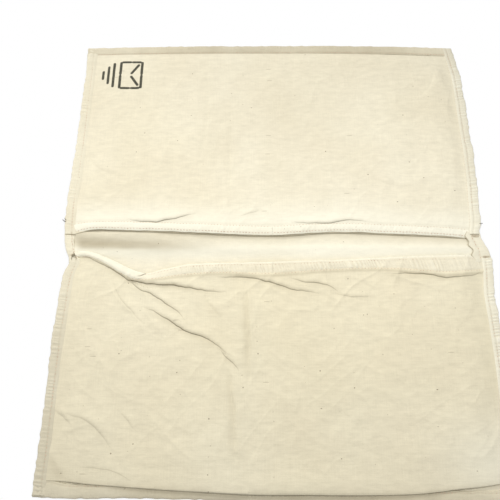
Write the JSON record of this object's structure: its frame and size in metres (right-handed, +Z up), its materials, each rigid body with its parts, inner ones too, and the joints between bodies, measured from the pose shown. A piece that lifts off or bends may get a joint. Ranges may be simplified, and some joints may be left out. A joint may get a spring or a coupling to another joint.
{
  "type": "two-pocket cotton mail sack",
  "caption": "Flat cream cotton mail sack: a pocket at each end of one back cloth, mouths facing across a narrow saddle strip that it folds over.",
  "frame": {"origin": "centre of the sack's outline, on the flat face that it lies on", "axes": "+X across the sack, from left to right; +Y along it, from the lower pocket's closed end to the upper pocket's; +Z up out of the lying sack, so the pockets' fronts face up"},
  "size_m": [0.28, 0.31, 0.007],
  "materials": {
    "cream_cotton": "plain-woven unbleached cotton, matt",
    "turned_cotton": "the same cotton, turned double in the seams and hems",
    "cotton_thread": "cotton sewing thread, matt"
  },
  "bodies": {
    "saddle": {"saddle_strip": "cream_cotton", "saddle_left_hem": "turned_cotton", "saddle_right_hem": "turned_cotton", "saddle_left_stitches": "cotton_thread", "saddle_right_stitches": "cotton_thread"},
    "upper_back": {"upper_back_cloth": "cream_cotton", "upper_left_seam": "turned_cotton", "upper_right_seam": "turned_cotton", "upper_left_stitches": "cotton_thread", "upper_right_outer_stitches": "cotton_thread", "upper_right_inner_stitches": "cotton_thread", "upper_left_tack": "cotton_thread", "upper_right_tack": "cotton_thread", "upper_end_seam": "turned_cotton", "upper_end_stitches": "cotton_thread"},
    "upper_front": {"upper_front_cloth": "cream_cotton", "upper_mouth_hem": "turned_cotton", "upper_hem_lip_stitches": "cotton_thread", "upper_hem_inner_stitches": "cotton_thread"},
    "lower_back": {"lower_back_cloth": "cream_cotton", "lower_left_seam": "turned_cotton", "lower_right_seam": "turned_cotton", "lower_left_stitches": "cotton_thread", "lower_right_outer_stitches": "cotton_thread", "lower_right_inner_stitches": "cotton_thread", "lower_left_tack": "cotton_thread", "lower_right_tack": "cotton_thread", "lower_end_seam": "turned_cotton", "lower_end_stitches": "cotton_thread"},
    "lower_front": {"lower_front_cloth": "cream_cotton", "lower_mouth_hem": "turned_cotton", "lower_hem_lip_stitches": "cotton_thread", "lower_hem_inner_stitches": "cotton_thread"}
  },
  "joints": [
    {"name": "upper_fold", "type": "hinge", "parent": "saddle", "child": "upper_back", "pos_m": [0, 0.001, 0.0003], "axis": [-1, 0, 0], "range_deg": [-90, 90]},
    {"name": "lower_fold", "type": "hinge", "parent": "saddle", "child": "lower_back", "pos_m": [0, -0.013, 0.0003], "axis": [1, 0, 0], "range_deg": [-90, 90]},
    {"name": "upper_mouth", "type": "hinge", "parent": "upper_back", "child": "upper_front", "pos_m": [0, 0.147, 0.0012], "axis": [-1, 0, 0], "range_deg": [0, 12], "deforming": ["upper_front_cloth", "upper_mouth_hem", "upper_hem_lip_stitches", "upper_hem_inner_stitches"]},
    {"name": "lower_mouth", "type": "hinge", "parent": "lower_back", "child": "lower_front", "pos_m": [0, -0.147, 0.0012], "axis": [1, 0, 0], "range_deg": [0, 12], "deforming": ["lower_front_cloth", "lower_mouth_hem", "lower_hem_lip_stitches", "lower_hem_inner_stitches"]}
  ]
}
